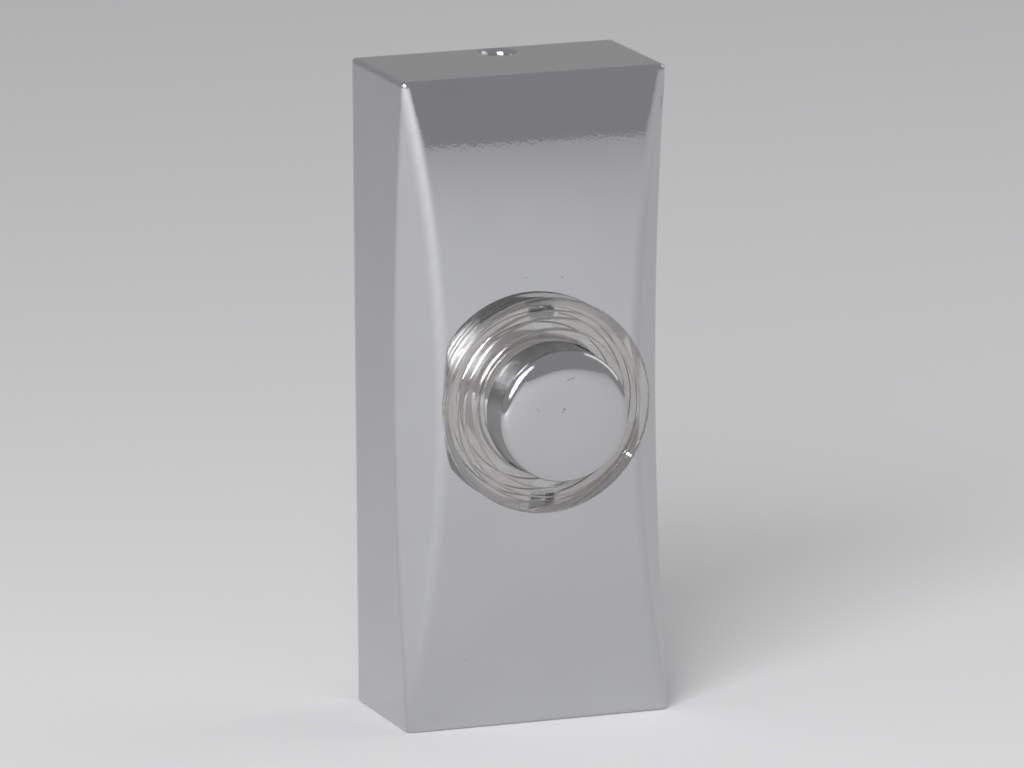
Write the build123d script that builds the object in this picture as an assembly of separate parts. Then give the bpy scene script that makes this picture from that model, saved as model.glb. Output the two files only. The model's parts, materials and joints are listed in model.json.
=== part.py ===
from build123d import *
from math import cos, radians, sin, sqrt
import os

# Doorbell push button. Every piece is drawn lying on its back: X to the right, Y up the door and Z away
# from the wall. It is then stood up, so that +Z is up the door and the front faces -Y.

# Cover
cover_height = 80.0
cover_width = 33.7
cover_depth = 18.0
front_bow = 1.25
cover_wall = 1.8
facet_angle = 50.0
facet_setback = 3.9
edge_round = 0.45
crease_round = 1.9
bush_wall = 0.8
bush_tail = 1.85

# Push cap and its carrier
button_radius = 8.1
button_top = 28.7
button_flat = 3.6
button_drop = 0.36
button_edge = 0.9
button_wall = 1.2
button_travel = 2.0
button_gap = 0.2
spigot_clearance = 0.03
spigot_length = 4.5
spigot_core_wall = 1.6
flange_thickness = 1.2
flange_overlap = 1.0
stop_gap = 0.05
ear_width = 5.2
ear_wall = 1.8
stem_radius = 2.6
stem_length = 6.3

# Clear collar
neck_radius = 12.2
neck_height = 0.65
rim_radius = 13.2
rim_taper = 1.0
rim_height = 1.1
rim_round = 0.35
ring_round = 0.28
ring_steps = [(11.85, 0.45), (11.1, 0.45), (9.85, 0.4)]
lug_count = 2
lug_start = 90.0
lug_radius = 11.5
lug_width = 3.0
lug_thickness = 0.9
lug_clearance = 0.05
retainer_margin = 0.6
retainer_thickness = 1.2
retainer_gap = 0.15
retainer_clearance = 0.1

# Base plate
base_thickness = 2.4
base_gap = 0.2
base_corner = 1.0
platform_height = 2.0
platform_margin = 0.5
pin_radius = 1.2
pin_fit = 0.08
pin_lead = 0.3
pin_chamfer = 0.25
pin_floor = 0.8
pin_bush_gap = 1.2
pin_boss_radius = 2.0
pin_boss_height = 2.5
pin_boss_draft = 0.2
seat_wall = 0.8
seat_rim_height = 1.2
wall_hole_radius = 2.1
wall_hole_sink_radius = 3.4
wall_hole_inset = 12.0
cable_hole_radius = 3.0
cable_hole_margin = 1.0

# Cover fixings
screw_x = 0.8
screw_from_wall = 2.9
screw_shank_radius = 1.0
screw_shank_length = 5.6
screw_head_radius = 1.9
screw_head_height = 1.5
screw_head_sunk = 0.6
screw_hole_clearance = 0.15
screw_head_clearance = 0.2
screw_entry_chamfer = 0.45
boss_width = 10.0
boss_height = 2.0
boss_rim = 1.2
nut_lug_height = 4.2
nut_lug_gap = 0.2
nut_side = 4.0
nut_thickness = 1.6
nut_clearance = 0.05
hook_width = 12.0
hook_reach = 1.3
hook_thickness = 1.0
hook_clearance = 0.2

# Contacts
strip_thickness = 0.8
strip_width = 6.0
strip_bend = 0.4
strip_from_edge = 1.8
strip_from_seat = 0.3
tip_radius = 1.2
tip_height = 0.5
tip_shank_radius = 0.6
tip_from_riser = 3.0
tip_margin = 0.3
contact_gap = 0.1
bridge_thickness = 0.6
bridge_arm_width = 5.0
bridge_overhang = 1.4
bridge_hub_margin = 0.8
clip_thickness = 0.4
clip_width = 1.2

# Return spring
spring_radius = 4.5
spring_wire_radius = 0.35
spring_turns = 6
spring_end_gap = 0.05

# Terminals and rivets
terminal_shank_radius = 1.5
terminal_head_radius = 2.6
terminal_head_height = 2.0
terminal_hole_clearance = 0.1
terminal_washer_radius = 2.9
terminal_washer_thickness = 0.5
terminal_nut_side = 5.4
terminal_nut_thickness = 2.2
terminal_end_margin = 3.4
slot_width = 0.6
slot_depth = 0.8
rivet_head_radius = 1.6
rivet_head_height = 0.6
rivet_shank_radius = 1.0
rivet_tail_depth = 0.8

# Lamp and resistor
lamp_radius = 1.5
lamp_flange_radius = 1.9
lamp_flange_height = 1.0
lamp_length = 5.3
lamp_stand_off = 0.5
lamp_pitch = 2.54
lead_radius = 0.3
lead_from_terminal = 1.5
resistor_radius = 0.85
resistor_length = 3.2
resistor_from_lamp = 1.3

# How close an edge has to lie to the place where it is looked for
match_tolerance = 0.01

# Cover form, shared by everything that fits in or on it
half_height = cover_height / 2
half_width = cover_width / 2
front_reach = cover_depth + front_bow
front_radius = (half_height**2 + front_bow**2) / (2 * front_bow)
facet_sink = facet_setback * cos(radians(facet_angle))
facet_radius = (half_height**2 + facet_sink**2) / (2 * facet_sink)

# Stack along the button's axis, measured from the wall
cap_bore = button_radius + button_gap
bush_radius = cap_bore + bush_wall
bush_back = front_reach - cover_wall - bush_tail
retainer_front = front_reach - cover_wall - retainer_gap
retainer_back = retainer_front - retainer_thickness
flange_front = bush_back - stop_gap
flange_back = flange_front - flange_thickness
flange_radius = cap_bore + flange_overlap
bridge_back = flange_back - bridge_thickness
stem_end = flange_back - stem_length
tip_front = bridge_back - button_travel - contact_gap
strip_top = tip_front - tip_height
seat_top = stem_end - button_travel - contact_gap
platform_top = base_thickness + platform_height
foot_top = platform_top + strip_thickness

# Places across the base plate
cavity_half_width = half_width - cover_wall
cavity_half_height = half_height - cover_wall
base_half_width = cavity_half_width - base_gap
base_half_height = cavity_half_height - base_gap
seat_rim_inner = spring_radius + 2 * spring_wire_radius
seat_rim_radius = seat_rim_inner + seat_wall
pin_y = bush_radius + pin_bush_gap + pin_radius
riser_x = base_half_width - strip_from_edge
tip_x = riser_x - tip_from_riser
foot_inner_x = seat_rim_radius + strip_from_seat
terminal_x = (foot_inner_x + riser_x) / 2
lead_end_x = terminal_x - lead_from_terminal
lamp_y = -(pin_y + pin_boss_radius + lamp_flange_radius)
terminal_y = lamp_y - terminal_washer_radius
foot_end_y = terminal_y - terminal_end_margin
wall_hole_y = half_height - wall_hole_inset
cable_y = pin_y + pin_boss_radius + cable_hole_margin + cable_hole_radius

# Places along the cover screw
boss_left = screw_x - boss_width / 2
boss_right = screw_x + boss_width / 2
boss_bottom = cavity_half_height - boss_height
nut_lug_top = boss_bottom - nut_lug_gap
nut_lug_bottom = nut_lug_top - nut_lug_height
nut_lug_front = screw_from_wall + nut_side / 2 + boss_rim
head_top = half_height - screw_head_sunk
head_seat = head_top - screw_head_height
nut_bottom = nut_lug_bottom + (nut_lug_height - nut_thickness) / 2


def block(x0, x1, y0, y1, z0, z1):
    """A box given by its two corners."""
    return Pos((x0 + x1) / 2, (y0 + y1) / 2, (z0 + z1) / 2) * Box(x1 - x0, y1 - y0, z1 - z0)


def rod(radius, z0, z1, x=0.0, y=0.0):
    """A round bar along the button's axis."""
    return Pos(x, y, (z0 + z1) / 2) * Cylinder(radius, z1 - z0)


def screw_rod(radius, y0, y1):
    """A round bar up the door, on the line of the cover screw."""
    return Pos(screw_x, (y0 + y1) / 2, screw_from_wall) * Rot(90, 0, 0) * Cylinder(radius, y1 - y0)


def turned(points):
    """A body of revolution about the button's axis from (radius, height) points."""
    return revolve(make_face(Plane.XZ * Polyline(*points, close=True)), Axis.Z, 360)


def circles(piece, radius):
    """The round edges of a piece that have that radius."""
    edges = piece.edges().filter_by(GeomType.CIRCLE)
    return edges.filter_by(lambda e: abs(e.radius - radius) < match_tolerance)


def cover_form(inset):
    """The outside of the cover, set in all round except at the back."""
    y = half_height - inset
    x = half_width - inset
    bow_radius = front_radius - inset
    bow_centre = front_reach - front_radius
    end_reach = bow_centre + sqrt(bow_radius**2 - y**2)
    side = Polyline((-y, end_reach), (-y, 0), (y, 0), (y, end_reach))
    bow = ThreePointArc((y, end_reach), (0, front_reach - inset), (-y, end_reach))
    form = extrude(Plane.YZ * make_face([side, bow]), x, both=True)
    for hand in (1, -1):
        outward = Vector(hand * sin(radians(facet_angle)), 0, cos(radians(facet_angle)))
        along = Vector(-hand * cos(radians(facet_angle)), 0, sin(radians(facet_angle)))
        edge = Vector(hand * half_width, 0, cover_depth - facet_setback)
        scoop = Plane(edge + outward * facet_radius, x_dir=outward, z_dir=along)
        form -= scoop * Cylinder(facet_radius + inset, 2 * cover_width)
    return form


def cover():
    """Chromed shell with its screw boss, hook and collar hole."""
    outside = cover_form(0)
    front = outside.faces().sort_by(Axis.Z)[-1]
    creases = front.edges().sort_by(lambda e: abs(e.center().Y))[:2]
    outside = fillet(creases, crease_round)
    rims = outside.edges().filter_by(lambda e: e.bounding_box().max.Z > edge_round)
    outside = fillet(rims, edge_round)
    boss = block(boss_left, boss_right, boss_bottom, half_height - cover_wall / 2, 0, nut_lug_front)
    hook_top = -cavity_half_height + hook_reach
    hook = block(-hook_width / 2, hook_width / 2, -cavity_half_height - cover_wall / 2, hook_top,
                 0, hook_thickness)
    bush = rod(bush_radius, bush_back, cover_depth)
    shell = outside - cover_form(cover_wall) + boss + hook + bush
    shell -= rod(cap_bore, bush_back, button_top)
    shell -= collar_lugs(lug_clearance)
    head_hole = screw_head_radius + screw_head_clearance
    shell -= screw_rod(head_hole, head_seat, cover_height)
    shank_hole = screw_shank_radius + screw_hole_clearance
    shell -= screw_rod(shank_hole, nut_lug_top, half_height)
    mouth = circles(shell, head_hole).sort_by(Axis.Y)[-1]
    return chamfer(mouth, screw_entry_chamfer)


def collar_lugs(clearance):
    """The lugs that hold the collar, or with a clearance the slots for them."""
    rim_low = front_reach + neck_height
    lug = Box(lug_thickness + 2 * clearance, lug_width + 2 * clearance, rim_low - retainer_back)
    middle = (rim_low + retainer_back) / 2
    places = PolarLocations(lug_radius, lug_count, start_angle=lug_start)
    return [Pos(0, 0, middle) * place * lug for place in places]


def lens_collar():
    """Clear ring with a rim, low steps up to the button and lugs through the cover."""
    rim_low = front_reach + neck_height
    rim_top = rim_low + rim_taper + rim_height
    head = [(cap_bore, cover_depth), (neck_radius, cover_depth), (neck_radius, rim_low),
            (rim_radius, rim_low + rim_taper), (rim_radius, rim_top)]
    level = rim_top
    for radius, rise in ring_steps:
        head += [(radius, level), (radius, level + rise)]
        level += rise
    head.append((cap_bore, level))
    ring = turned(head)
    for radius, rise in ring_steps:
        ring = fillet(circles(ring, radius).sort_by(Axis.Z)[-1], ring_round)
    ring = fillet(circles(ring, rim_radius), rim_round) - cover_form(0)
    return ring + collar_lugs(0)


def collar_retaining_ring():
    """Push-on ring over the lugs of the collar, trimmed to the inside of the cover."""
    outer_radius = lug_radius + lug_thickness / 2 + retainer_margin
    ring = rod(outer_radius, retainer_back, retainer_front)
    ring -= rod(bush_radius + retainer_clearance, retainer_back, retainer_front)
    return (ring & cover_form(cover_wall + retainer_gap)) - collar_lugs(0)


def button_cap():
    """Hollow push cap, flat in the middle, with a soft shoulder and a rounded edge."""
    shoulder = button_top - button_drop
    soft = TangentArc((button_flat, button_top), (button_radius, shoulder), tangent=(1, 0))
    walls = Polyline((button_radius, shoulder), (button_radius, flange_front), (0, flange_front),
                     (0, button_top), (button_flat, button_top))
    half = make_face([soft, walls])
    corner = half.vertices().group_by(Axis.X)[-1].sort_by(Axis.Y)[-1]
    cap = revolve(Plane.XZ * fillet(corner, button_edge), Axis.Z, 360)
    return cap - rod(button_radius - button_wall, flange_front, shoulder - button_wall)


def plunger():
    """Carrier in the cap with a stop flange, two guide ears and the stem."""
    spigot_radius = button_radius - button_wall - spigot_clearance
    ear_reach = pin_y + pin_radius + ear_wall
    body = rod(flange_radius, flange_back, flange_front)
    body += block(-ear_width / 2, ear_width / 2, -ear_reach, ear_reach, flange_back, flange_front)
    body += rod(spigot_radius, flange_front, flange_front + spigot_length)
    body -= rod(spigot_radius - spigot_core_wall, flange_front, flange_front + spigot_length)
    body += rod(stem_radius, stem_end, flange_front)
    for side in (1, -1):
        body -= rod(pin_radius + pin_fit, flange_back, flange_front, 0, side * pin_y)
    uprights = body.edges().filter_by(Axis.Z)
    ears = uprights.filter_by(lambda e: abs(abs(e.center().Y) - ear_reach) < match_tolerance)
    return fillet(ears, ear_wall / 2)


def contact_bridge():
    """Brass bridge on the stem, with an arm over each fixed contact."""
    reach = tip_x + bridge_overhang
    hub = spring_radius + spring_wire_radius + bridge_hub_margin
    outline = Circle(hub) + RectangleRounded(2 * reach, bridge_arm_width, bridge_arm_width / 4)
    return Pos(0, 0, bridge_back) * extrude(outline - Circle(stem_radius), bridge_thickness)


def bridge_clip():
    """Push-on clip behind the bridge."""
    clip = Circle(stem_radius + clip_width) - Circle(stem_radius)
    for turn in PolarLocations(stem_radius, 4):
        clip -= turn * Rectangle(clip_width, clip_width / 2)
    return Pos(0, 0, bridge_back - clip_thickness) * extrude(clip, clip_thickness)


def return_spring():
    """Coil between the floor of the base plate and the bridge."""
    low = base_thickness + spring_end_gap + spring_wire_radius
    high = bridge_back - spring_end_gap - spring_wire_radius
    coil = Helix((high - low) / spring_turns, high - low, spring_radius, center=(0, 0, low))
    return sweep(Plane(coil @ 0, z_dir=coil % 0) * Circle(spring_wire_radius), coil)


def base_plate():
    """Moulded plate with platforms, pin bosses, spring seat, nut lug and holes."""
    plate = extrude(RectangleRounded(2 * base_half_width, 2 * base_half_height, base_corner), base_thickness)
    platform_low_y = foot_end_y - platform_margin
    platform_high_y = strip_width / 2 + platform_margin
    for hand in (1, -1):
        inner = hand * (foot_inner_x - platform_margin)
        outer = hand * (riser_x + platform_margin)
        plate += block(min(inner, outer), max(inner, outer), platform_low_y, platform_high_y, 0, platform_top)
    seat_radius = spring_radius - 2 * spring_wire_radius
    plate += rod(seat_radius, 0, seat_top)
    rim = rod(seat_rim_radius, 0, base_thickness + seat_rim_height)
    plate += rim - rod(seat_rim_inner, 0, base_thickness + seat_rim_height)
    boss = Cone(pin_boss_radius, pin_boss_radius - pin_boss_draft, pin_boss_height)
    boss_top = base_thickness + pin_boss_height
    for side in (1, -1):
        plate += Pos(0, side * pin_y, base_thickness + pin_boss_height / 2) * boss
        plate -= rod(pin_radius, pin_floor, boss_top, 0, side * pin_y)
    lug = block(boss_left, boss_right, nut_lug_bottom, nut_lug_top, 0, nut_lug_front)
    notch_left = boss_left - nut_lug_gap
    notch_right = boss_right + nut_lug_gap
    plate -= block(notch_left, notch_right, nut_lug_top, cover_height, 0, base_thickness)
    plate += lug
    slot_half = nut_side / 2 + nut_clearance
    slot_left = screw_x - slot_half
    slot_right = screw_x + slot_half
    slot_low = nut_bottom - nut_clearance
    slot_high = nut_bottom + nut_thickness + nut_clearance
    plate -= block(slot_left, slot_right, slot_low, slot_high, screw_from_wall - slot_half, cover_depth)
    shank_hole = screw_shank_radius + screw_hole_clearance
    plate -= screw_rod(shank_hole, nut_lug_bottom, nut_lug_top)
    hook_half = hook_width / 2 + hook_clearance
    hook_top = -cavity_half_height + hook_reach + hook_clearance
    plate -= block(-hook_half, hook_half, -cover_height, hook_top, 0, hook_thickness + hook_clearance)
    for side in (1, -1):
        plate -= rod(wall_hole_radius, 0, base_thickness, 0, side * wall_hole_y)
        sink_depth = wall_hole_sink_radius - wall_hole_radius
        sink = Cone(wall_hole_radius, wall_hole_sink_radius, sink_depth)
        plate -= Pos(0, side * wall_hole_y, base_thickness - sink_depth / 2) * sink
    plate -= rod(cable_hole_radius, 0, base_thickness, 0, cable_y)
    pocket = terminal_nut_side / 2 + nut_clearance
    for hand in (1, -1):
        x = hand * terminal_x
        plate -= rod(terminal_shank_radius + terminal_hole_clearance, 0, platform_top, x, terminal_y)
        plate -= block(x - pocket, x + pocket, terminal_y - pocket, terminal_y + pocket, 0, base_thickness)
        plate -= rod(rivet_shank_radius, 0, platform_top, hand * tip_x, 0)
        plate -= rod(rivet_head_radius, 0, rivet_tail_depth, hand * tip_x, 0)
    return plate


def guide_pins():
    """Two steel pins in the bosses of the base plate, which keep the plunger straight."""
    pin = rod(pin_radius, pin_floor, flange_front + pin_lead)
    pin = chamfer(pin.edges().filter_by(GeomType.CIRCLE), pin_chamfer)
    return Compound([Pos(0, side * pin_y, 0) * pin for side in (1, -1)])


def contact_strip(hand):
    """Bent brass strip: foot with the terminal, riser and top with the fixed contact."""
    outer = riser_x
    inner = tip_x - tip_radius - tip_margin
    path = [(foot_inner_x, platform_top), (outer, platform_top), (outer, strip_top),
            (inner, strip_top), (inner, strip_top - strip_thickness),
            (outer - strip_thickness, strip_top - strip_thickness),
            (outer - strip_thickness, foot_top), (foot_inner_x, foot_top)]
    bent = make_face(Plane.XZ * Polyline(*path, close=True))
    strip = extrude(bent, strip_width / 2, both=True)
    bends = strip.edges().filter_by(Axis.Y).filter_by(lambda e: e.center().X > outer - strip_thickness / 2)
    strip = fillet(bends, strip_bend)
    strip += block(foot_inner_x, outer - strip_bend, foot_end_y, 0, platform_top, foot_top)
    hole = terminal_shank_radius + terminal_hole_clearance
    strip -= rod(hole, platform_top, foot_top, terminal_x, terminal_y)
    strip -= rod(rivet_shank_radius, platform_top, foot_top, tip_x, 0)
    strip -= rod(tip_shank_radius, strip_top - strip_thickness, strip_top, tip_x, 0)
    return strip if hand > 0 else mirror(strip, Plane.YZ)


def contact_tips():
    """Silver rivets, each with a domed head towards the bridge."""
    back = strip_top - strip_thickness
    tips = []
    for hand in (1, -1):
        head = rod(tip_radius, strip_top, tip_front, hand * tip_x)
        head = fillet(head.edges().sort_by(Axis.Z)[-1], tip_height / 2)
        tail = rod(tip_radius, back - tip_height / 2, back, hand * tip_x)
        tips.append(head + tail + rod(tip_shank_radius, back, strip_top, hand * tip_x))
    return Compound(tips)


def strip_rivets():
    """Rivets that clamp the strips to the platforms."""
    rivets = []
    for hand in (1, -1):
        head = rod(rivet_head_radius, foot_top, foot_top + rivet_head_height, hand * tip_x)
        head = fillet(head.edges().sort_by(Axis.Z)[-1], rivet_head_height / 2)
        tail = rod(rivet_head_radius, rivet_tail_depth - rivet_head_height, rivet_tail_depth, hand * tip_x)
        rivets.append(head + tail + rod(rivet_shank_radius, rivet_tail_depth, foot_top, hand * tip_x))
    return Compound(rivets)


def slotted_screw(head_radius, head_height, shank_radius, shank_length):
    """Pan-head screw with its head on Z = 0 and its shank below."""
    head = rod(head_radius, 0, head_height)
    head = fillet(head.edges().sort_by(Axis.Z)[-1], head_height / 3)
    slot_half = slot_width / 2
    head -= block(-head_radius, head_radius, -slot_half, slot_half, head_height - slot_depth, head_height)
    shank = rod(shank_radius, -shank_length, 0)
    shank = chamfer(shank.edges().sort_by(Axis.Z)[0], shank_radius / 4)
    return head + shank


def terminal_screws():
    """Two screws that clamp the bell wires."""
    seat = foot_top + terminal_washer_thickness
    nut_end = base_thickness - terminal_nut_thickness
    screw = slotted_screw(terminal_head_radius, terminal_head_height, terminal_shank_radius, seat - nut_end)
    return Compound([Pos(hand * terminal_x, terminal_y, seat) * screw for hand in (1, -1)])


def terminal_washers():
    """Two plain washers under the terminal screws."""
    ring = Circle(terminal_washer_radius) - Circle(terminal_shank_radius + terminal_hole_clearance)
    washer = extrude(ring, terminal_washer_thickness)
    return Compound([Pos(hand * terminal_x, terminal_y, foot_top) * washer for hand in (1, -1)])


def square_nut(side, thickness, hole_radius):
    """Square nut standing on Z = 0."""
    return extrude(Rectangle(side, side) - Circle(hole_radius), thickness)


def terminal_nuts():
    """Two square nuts in the pockets at the back of the base plate."""
    nut = square_nut(terminal_nut_side, terminal_nut_thickness, terminal_shank_radius)
    low = base_thickness - terminal_nut_thickness
    return Compound([Pos(hand * terminal_x, terminal_y, low) * nut for hand in (1, -1)])


def cover_screw():
    """Screw down through the top end of the cover."""
    screw = slotted_screw(screw_head_radius, screw_head_height, screw_shank_radius, screw_shank_length)
    return Pos(screw_x, head_seat, screw_from_wall) * Rot(-90, 0, 0) * screw


def cover_nut():
    """Square nut in the slot of the lug."""
    nut = square_nut(nut_side, nut_thickness, screw_shank_radius)
    return Pos(screw_x, nut_bottom, screw_from_wall) * Rot(-90, 0, 0) * nut


def lamp():
    """Small domed lamp that stands on its leads."""
    low = foot_top + lead_radius + lamp_stand_off
    bulb = rod(lamp_radius, low, low + lamp_length - lamp_radius, 0, lamp_y)
    bulb += Pos(0, lamp_y, low + lamp_length - lamp_radius) * Sphere(lamp_radius)
    return bulb + rod(lamp_flange_radius, low, low + lamp_flange_height, 0, lamp_y)


def bent_lead(x0, x1, top):
    """Round wire along the strip's level, turned up at its first end."""
    level = foot_top + lead_radius
    low_end = Pos((x0 + x1) / 2, lamp_y, level) * Rot(0, 90, 0) * Cylinder(lead_radius, abs(x1 - x0))
    elbow = Pos(x0, lamp_y, level) * Sphere(lead_radius)
    return low_end + elbow + rod(lead_radius, level, top, x0, lamp_y)


def lamp_legs():
    """Leads of the lamp: one on the left strip, one to the resistor."""
    top = foot_top + lead_radius + lamp_stand_off
    left = bent_lead(-lamp_pitch / 2, -lead_end_x, top)
    right = bent_lead(lamp_pitch / 2, lamp_pitch / 2 + resistor_from_lamp / 2, top)
    return Compound([left, right])


def resistor():
    """Series resistor between the lamp and the right strip."""
    start = lamp_pitch / 2 + resistor_from_lamp
    body = Cylinder(resistor_radius, resistor_length)
    body = fillet(body.edges().filter_by(GeomType.CIRCLE), resistor_radius / 3)
    return Pos(start + resistor_length / 2, lamp_y, foot_top + lead_radius) * Rot(0, 90, 0) * body


def resistor_legs():
    """Leads of the resistor: one to the lamp, one on the right strip."""
    start = lamp_pitch / 2 + resistor_from_lamp
    spans = [(lamp_pitch / 2 + resistor_from_lamp / 2, start),
             (start + resistor_length, lead_end_x)]
    legs = []
    for x0, x1 in spans:
        leg = Rot(0, 90, 0) * Cylinder(lead_radius, x1 - x0)
        legs.append(Pos((x0 + x1) / 2, lamp_y, foot_top + lead_radius) * leg)
    return Compound(legs)


pieces = {
    "cover": cover(),
    "lens_collar": lens_collar(),
    "collar_retaining_ring": collar_retaining_ring(),
    "button_cap": button_cap(),
    "plunger": plunger(),
    "contact_bridge": contact_bridge(),
    "bridge_clip": bridge_clip(),
    "return_spring": return_spring(),
    "base_plate": base_plate(),
    "guide_pins": guide_pins(),
    "contact_strip_left": contact_strip(-1),
    "contact_strip_right": contact_strip(1),
    "contact_tips": contact_tips(),
    "strip_rivets": strip_rivets(),
    "terminal_screws": terminal_screws(),
    "terminal_washers": terminal_washers(),
    "terminal_nuts": terminal_nuts(),
    "cover_screw": cover_screw(),
    "cover_nut": cover_nut(),
    "lamp": lamp(),
    "lamp_legs": lamp_legs(),
    "resistor": resistor(),
    "resistor_legs": resistor_legs(),
}

os.makedirs("parts", exist_ok=True)
for name, piece in pieces.items():
    export_step(Plane.XZ * piece, f"parts/{name}.step")
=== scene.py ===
import json
from math import cos, pi, radians, sin

import bpy
from mathutils import Matrix, Vector


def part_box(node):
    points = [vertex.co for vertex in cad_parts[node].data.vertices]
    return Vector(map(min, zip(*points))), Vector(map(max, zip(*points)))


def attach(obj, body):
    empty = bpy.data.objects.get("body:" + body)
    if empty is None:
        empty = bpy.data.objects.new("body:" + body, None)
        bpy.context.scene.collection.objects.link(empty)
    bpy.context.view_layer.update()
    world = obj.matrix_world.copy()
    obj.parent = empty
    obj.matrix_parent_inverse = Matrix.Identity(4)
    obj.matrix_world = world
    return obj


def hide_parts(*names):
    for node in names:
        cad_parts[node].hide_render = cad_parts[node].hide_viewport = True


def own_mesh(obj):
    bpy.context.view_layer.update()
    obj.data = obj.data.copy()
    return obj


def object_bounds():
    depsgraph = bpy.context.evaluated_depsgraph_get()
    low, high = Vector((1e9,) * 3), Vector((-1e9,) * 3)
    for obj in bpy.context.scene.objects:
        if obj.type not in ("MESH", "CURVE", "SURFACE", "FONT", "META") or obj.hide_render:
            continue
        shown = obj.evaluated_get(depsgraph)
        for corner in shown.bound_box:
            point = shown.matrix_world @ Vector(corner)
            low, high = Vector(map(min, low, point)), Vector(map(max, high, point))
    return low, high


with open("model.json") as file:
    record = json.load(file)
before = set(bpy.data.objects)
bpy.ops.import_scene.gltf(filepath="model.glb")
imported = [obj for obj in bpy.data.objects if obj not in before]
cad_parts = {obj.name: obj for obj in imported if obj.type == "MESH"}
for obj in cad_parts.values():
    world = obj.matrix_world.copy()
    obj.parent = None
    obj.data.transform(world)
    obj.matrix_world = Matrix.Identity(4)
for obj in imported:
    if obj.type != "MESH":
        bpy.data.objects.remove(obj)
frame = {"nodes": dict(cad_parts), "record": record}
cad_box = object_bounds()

# Doorbell push button: finish of every piece, the return spring, floor, light and camera. Sizes in metres.

# Camera
camera_azimuth = radians(-19.820)
camera_elevation = radians(12.101)
camera_roll = radians(-0.410)
camera_distance = 1.27096
camera_lens = 365.72
camera_sensor = 36.0
aim_right = 0.003225
aim_up = -0.001617

# Return spring
wire_radius = 0.00035
wire_sides = 12
spring_turns = 7
steps_per_turn = 36
closed_turns = 0.8
closed_rise = 0.55

# Stage
floor_radius = 1.35
floor_back = 0.6
floor_sides = 96
floor_colour = (0.92, 0.92, 0.93, 1.0)
studio_tone = (0.345, 0.343, 0.348, 1.0)

# Lamps: direction, distance, width, height and power
lamps = {
    "key_lamp": ((-0.42, -0.56, 0.38), 0.79, 0.45, 0.45, 4.5),
    "fill_lamp": ((0.62, 0.0, 0.35), 0.71, 0.5, 0.5, 0.6),
}

# Small marks in the plating: place, radius and strength
cover_pits = [
    ((-0.0094, -0.01848, -0.0313), 0.00013, 0.5),
    ((0.0030, -0.01907, 0.0151), 0.00012, 0.45),
    ((-0.0016, -0.01906, 0.0154), 0.00010, 0.4),
]
cap_pits = [
    ((-0.00032, -0.0287, 0.00104), 0.00018, 0.9),
    ((-0.00056, -0.0287, 0.00078), 0.00014, 0.5),
    ((-0.0038, -0.0287, 0.0013), 0.00011, 0.4),
    ((-0.0036, -0.0287, 0.0011), 0.00010, 0.35),
]
pit_depth = 0.00003
pit_floor = 0.2
pit_colour = (0.22, 0.21, 0.20, 1.0)

# A scratch on the cap, as a row of pits that grow stronger
scratch_steps = 6
scratch_start = (0.0, -0.02866, 0.00454)
scratch_run = (0.00106, 0.0, 0.00031)
scratch_radius = 0.00012
scratch_strength = 0.25
scratch_gain = 0.04

# Chrome plate
plate_drift = 0.012
plate_gloss = (0.012, 0.03)
peel_size = 0.00045
peel_depth = 0.0000008
wave_size = 0.006
wave_depth = 0.0000016
crease_blend = 0.0008
crease_samples = 8
wear_and_shade_from = -0.0279
wear_and_shade_to = -0.0272
# Painted shade: the cap's side gets a darker colour, standing in for the dark reflection in it; the dullness
# below is wear
side_shade_colour = (0.47, 0.475, 0.50, 1.0)
worn_dullness = 0.3

# Clear and opaque mouldings, and other metals
haze_size = 0.003
haze_gloss = (0.01, 0.05)
ripple_size = 0.0025
ripple_depth = 0.000002
moulding_drift = 0.008
metal_drift = 12
drift_detail = 3.0
even = (1.0, 1.0, 1.0)

# Chrome: dark and light colour, pits, and whether its side is worn duller and painted darker as shade
chromes = {
    "cover_chrome": ((0.53, 0.535, 0.55), (0.58, 0.585, 0.595), cover_pits, False),
    "cap_chrome": ((0.54, 0.54, 0.555), (0.57, 0.57, 0.58), cap_pits, True),
}
# Clear plastic: tint, index and clearness
clears = {
    "clear_plastic": ((0.93, 0.915, 0.885), 1.49, 0.93),
    "lamp_glass": ((0.97, 0.96, 0.90), 1.54, 0.97),
}
# Opaque plastic: dark and light colour, roughness, and size and depth of its texture
mouldings = {
    "white_nylon": ((0.80, 0.80, 0.76), (0.86, 0.86, 0.83), (0.3, 0.42), 0.0006, 0.00001),
    "base_moulding": ((0.74, 0.74, 0.70), (0.80, 0.80, 0.77), (0.5, 0.65), 0.0003, 0.00003),
    "resistor_lacquer": ((0.66, 0.55, 0.37), (0.74, 0.64, 0.46), (0.25, 0.35), 0.0008, 0.00001),
}
# Other metals: dark and light colour, roughness, and size, depth and stretch of their grain
metals = {
    "brass_sheet": ((0.70, 0.52, 0.24), (0.80, 0.62, 0.32), (0.2, 0.34), 0.0003, 0.000003, (1.0, 1.0, 0.06)),
    "brass_turned": ((0.68, 0.50, 0.23), (0.78, 0.59, 0.30), (0.22, 0.3), 0.0002, 0.000003, even),
    "contact_silver": ((0.78, 0.77, 0.73), (0.87, 0.86, 0.83), (0.22, 0.36), 0.0002, 0.000004, even),
    "spring_steel": ((0.52, 0.52, 0.53), (0.64, 0.64, 0.65), (0.2, 0.3), 0.0002, 0.000002, even),
    "zinc_steel": ((0.60, 0.61, 0.62), (0.72, 0.73, 0.74), (0.18, 0.32), 0.0003, 0.000004, even),
    "tinned_wire": ((0.66, 0.66, 0.64), (0.76, 0.76, 0.74), (0.25, 0.38), 0.0002, 0.000003, even),
}


def new_material(name):
    """An empty node material, and the tree to fill."""
    material = bpy.data.materials.new(name)
    material.use_nodes = True
    tree = material.node_tree
    tree.nodes.clear()
    return material, tree


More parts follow.
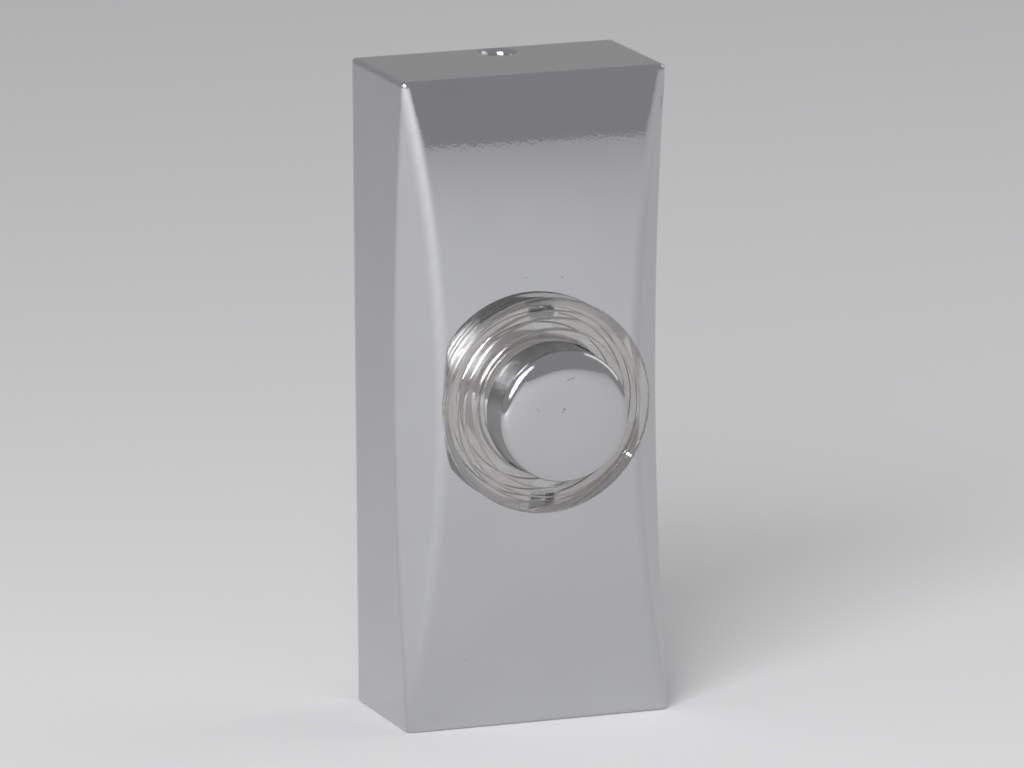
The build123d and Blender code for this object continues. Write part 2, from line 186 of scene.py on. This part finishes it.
def node(tree, kind, values=None, **settings):
    """A node with its settings, and with its inputs set or linked from a dict of values or sockets."""
    made = tree.nodes.new(kind)
    for key, value in settings.items():
        setattr(made, key, value)
    for key, value in (values or {}).items():
        if isinstance(value, bpy.types.NodeSocket):
            tree.links.new(value, made.inputs[key])
        else:
            made.inputs[key].default_value = value
    return made


def maths(tree, operation, first, second):
    """The result of one maths node."""
    return node(tree, "ShaderNodeMath", {0: first, 1: second}, operation=operation).outputs[0]


def smooth(tree, value, low, high):
    """0 below low, 1 above high, and smooth between."""
    made = node(tree, "ShaderNodeMapRange", {"Value": value, "From Min": low, "From Max": high},
                interpolation_type="SMOOTHSTEP")
    return made.outputs["Result"]


def between(tree, value, low, high):
    """A value from 0 to 1 spread from low to high."""
    made = node(tree, "ShaderNodeMapRange", {"Value": value, "To Min": low, "To Max": high})
    return made.outputs["Result"]


def mixed(tree, share, first, second):
    """A mix of two colours, by the colour sockets of the node."""
    return node(tree, "ShaderNodeMix", {0: share, 6: first, 7: second}, data_type="RGBA").outputs[2]


def place_of(tree):
    """Object coordinates, which are metres in the shared frame."""
    return node(tree, "ShaderNodeTexCoord").outputs["Object"]


def grain(tree, size, detail, stretch=even):
    """Noise whose features are about that many metres across."""
    vector = node(tree, "ShaderNodeMapping", {"Vector": place_of(tree), "Scale": stretch}).outputs["Vector"]
    made = node(tree, "ShaderNodeTexNoise", {"Vector": vector, "Scale": 1.0 / size, "Detail": detail})
    return made.outputs["Fac"]


def bumped(tree, height, depth, normal=None):
    """A normal from a height, with its depth in metres."""
    values = {"Height": height, "Distance": depth, "Strength": 1.0}
    if normal is not None:
        values["Normal"] = normal
    return node(tree, "ShaderNodeBump", values).outputs["Normal"]


def finish_with(tree, shader):
    """Joins a shader to the material's output."""
    output = node(tree, "ShaderNodeOutputMaterial")
    tree.links.new(shader.outputs["BSDF"], output.inputs["Surface"])


def drifting(tree, drift, dark, light):
    """A colour that drifts between two."""
    return mixed(tree, drift, (*dark, 1.0), (*light, 1.0))


def pitted(tree, pits):
    """1 at the middle of each pit, 0 outside them all."""
    total = 0.0
    for centre, radius, strength in pits:
        off = node(tree, "ShaderNodeVectorMath", {0: place_of(tree), 1: centre}, operation="DISTANCE")
        edge = smooth(tree, off.outputs["Value"], pit_floor * radius, radius)
        inside = maths(tree, "SUBTRACT", 1.0, edge)
        total = maths(tree, "MAXIMUM", total, maths(tree, "MULTIPLY", inside, strength))
    return total


def chrome(name, dark, light, pits, worn_and_shaded_side):
    """Bright plate with a faint orange peel under it and a few pits in it, duller on a side that rubs, where
    its colour is also painted darker as shade.
    """
    material, tree = new_material(name)
    drift = grain(tree, plate_drift, drift_detail)
    rounded = node(tree, "ShaderNodeBevel", {"Radius": crease_blend}, samples=crease_samples)
    peel = bumped(tree, grain(tree, peel_size, 1.0), peel_depth, rounded.outputs["Normal"])
    wave = bumped(tree, grain(tree, wave_size, 1.0), wave_depth, peel)
    pit = pitted(tree, pits)
    plate = drifting(tree, drift, dark, light)
    gloss = between(tree, drift, *plate_gloss)
    if worn_and_shaded_side:
        depth = node(tree, "ShaderNodeSeparateXYZ", {0: place_of(tree)}).outputs["Y"]
        wear_and_shade = smooth(tree, depth, wear_and_shade_from, wear_and_shade_to)
        # Painted shade: the side's colour is made darker here, and its roughness is raised below
        plate = mixed(tree, wear_and_shade, plate, side_shade_colour)
        gloss = maths(tree, "ADD", gloss, maths(tree, "MULTIPLY", wear_and_shade, worn_dullness))
    finish_with(tree, node(tree, "ShaderNodeBsdfPrincipled", {
        "Base Color": mixed(tree, pit, plate, pit_colour),
        "Metallic": 1.0,
        "Roughness": gloss,
        "Normal": bumped(tree, maths(tree, "SUBTRACT", 0.0, pit), pit_depth, wave),
    }))
    return material


def metal(name, dark, light, roughness, grain_size, depth, stretch):
    """Metal with a slight drift of colour and gloss and a fine surface grain."""
    material, tree = new_material(name)
    drift = grain(tree, grain_size * metal_drift, drift_detail)
    fine = grain(tree, grain_size, drift_detail, stretch)
    finish_with(tree, node(tree, "ShaderNodeBsdfPrincipled", {
        "Base Color": drifting(tree, drift, dark, light),
        "Metallic": 1.0,
        "Roughness": between(tree, drift, *roughness),
        "Normal": bumped(tree, fine, depth),
    }))
    return material


def clear(name, tint, index, clearness):
    """Clear moulded plastic with a slight haze."""
    material, tree = new_material(name)
    finish_with(tree, node(tree, "ShaderNodeBsdfPrincipled", {
        "Base Color": (*tint, 1.0),
        "Roughness": between(tree, grain(tree, haze_size, drift_detail), *haze_gloss),
        "IOR": index,
        "Transmission Weight": clearness,
        "Normal": bumped(tree, grain(tree, ripple_size, 2.0), ripple_depth),
    }))
    return material


def moulded(name, dark, light, roughness, texture_size, depth):
    """Opaque moulded plastic with a fine texture."""
    material, tree = new_material(name)
    drift = grain(tree, moulding_drift, drift_detail)
    finish_with(tree, node(tree, "ShaderNodeBsdfPrincipled", {
        "Base Color": drifting(tree, drift, dark, light),
        "Roughness": between(tree, drift, *roughness),
        "Normal": bumped(tree, grain(tree, texture_size, drift_detail), depth),
    }))
    return material


def floor_finish():
    """Plain pale matt floor."""
    material, tree = new_material("floor")
    finish_with(tree, node(tree, "ShaderNodeBsdfDiffuse", {"Color": floor_colour}))
    return material


def make_finishes():
    """A material for each slot of the record, on every CAD piece."""
    for step in range(scratch_steps):
        share = step / scratch_steps
        place = tuple(start + run * share for start, run in zip(scratch_start, scratch_run))
        cap_pits.append((place, scratch_radius, scratch_strength + scratch_gain * step))
    made = {}
    for maker, rows in ((chrome, chromes), (clear, clears), (moulded, mouldings), (metal, metals)):
        for slot, row in rows.items():
            made[slot] = maker(slot, *row)
    for subpart in frame["record"]["subparts"]:
        mesh = frame["nodes"][subpart["node"]].data
        mesh.materials.clear()
        mesh.materials.append(made[subpart["material_slot"]])
    return made


def make_spring(finish):
    """Return spring with closed ends, in the space of its solid."""
    low, high = (Vector(corner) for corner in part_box("return_spring"))
    coil_radius = (high.x - low.x) / 2 - wire_radius
    length = high.y - low.y - 2 * wire_radius
    steps = spring_turns * steps_per_turn
    rises = []
    for step in range(steps):
        turn = step / steps_per_turn
        loose = min(turn, spring_turns - turn) - closed_turns
        rises.append(closed_rise + min(max(loose / closed_turns, 0.0), 1.0))
    levels = [sum(rises[:step]) for step in range(steps + 1)]
    points = []
    for step, level in enumerate(levels):
        angle = 2 * pi * step / steps_per_turn
        for side in range(wire_sides):
            around = 2 * pi * side / wire_sides
            out = coil_radius + wire_radius * cos(around)
            up = high.y - wire_radius - length * level / levels[-1] + wire_radius * sin(around)
            points.append((out * cos(angle), up, out * sin(angle)))
    faces = []
    for step in range(steps):
        for side in range(wire_sides):
            ahead = (side + 1) % wire_sides
            row = step * wire_sides
            faces.append((row + side, row + ahead, row + wire_sides + ahead, row + wire_sides + side))
    faces.append(tuple(range(wire_sides)))
    faces.append(tuple(reversed(range(steps * wire_sides, (steps + 1) * wire_sides))))
    mesh = bpy.data.meshes.new("spring_coil")
    mesh.from_pydata(points, [], faces)
    mesh.shade_smooth()
    mesh.materials.append(finish)
    spring = bpy.data.objects.new("spring_coil", mesh)
    bpy.context.scene.collection.objects.link(spring)
    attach(spring, "housing")
    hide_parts("return_spring")
    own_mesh(spring)


def make_floor():
    """Round floor under the part."""
    angles = [2 * pi * side / floor_sides for side in range(floor_sides)]
    points = [(floor_radius * cos(angle), floor_radius * sin(angle), 0.0) for angle in angles]
    mesh = bpy.data.meshes.new("floor")
    mesh.from_pydata(points, [], [tuple(range(floor_sides))])
    mesh.materials.append(floor_finish())
    floor = bpy.data.objects.new("floor", mesh)
    floor.location = (0.0, floor_back, cad_box[0][2])
    bpy.context.scene.collection.objects.link(floor)


def make_world():
    """Plain grey studio, the same to every ray."""
    world = bpy.data.worlds.new("studio")
    bpy.context.scene.world = world
    world.use_nodes = True
    tree = world.node_tree
    tree.nodes.clear()
    background = node(tree, "ShaderNodeBackground", {"Color": studio_tone, "Strength": 1.0})
    output = node(tree, "ShaderNodeOutputWorld")
    tree.links.new(background.outputs[0], output.inputs["Surface"])


def make_lamp(name, direction, distance, width, height, power):
    """Soft rectangular lamp that faces the part."""
    data = bpy.data.lights.new(name, "AREA")
    data.shape = "RECTANGLE"
    data.size = width
    data.size_y = height
    data.energy = power
    lamp = bpy.data.objects.new(name, data)
    lamp.location = Vector(direction).normalized() * distance
    lamp.rotation_euler = Vector(direction).to_track_quat("Z", "Y").to_euler()
    lamp.visible_camera = False
    bpy.context.scene.collection.objects.link(lamp)


def make_camera():
    """Camera at the photograph's angle."""
    level = cos(camera_elevation)
    away = Vector((sin(camera_azimuth) * level, -cos(camera_azimuth) * level, sin(camera_elevation)))
    right = Vector((cos(camera_azimuth), sin(camera_azimuth), 0.0))
    up = away.cross(right)
    rolled_right = right * cos(camera_roll) + up * sin(camera_roll)
    rolled_up = up * cos(camera_roll) - right * sin(camera_roll)
    stand = away * camera_distance
    aim = rolled_right * aim_right + rolled_up * aim_up
    back = (stand - aim).normalized()
    side = rolled_up.cross(back).normalized()
    top = back.cross(side)
    data = bpy.data.cameras.new("camera")
    data.lens = camera_lens
    data.sensor_width = camera_sensor
    camera = bpy.data.objects.new("camera", data)
    camera.matrix_world = Matrix((
        (side.x, top.x, back.x, stand.x),
        (side.y, top.y, back.y, stand.y),
        (side.z, top.z, back.z, stand.z),
        (0.0, 0.0, 0.0, 1.0)))
    bpy.context.scene.collection.objects.link(camera)
    bpy.context.scene.camera = camera


bpy.context.scene.view_settings.view_transform = "Standard"
finishes = make_finishes()
make_spring(finishes["spring_steel"])
make_floor()
make_world()
for lamp_name, lamp_row in lamps.items():
    make_lamp(lamp_name, *lamp_row)
make_camera()
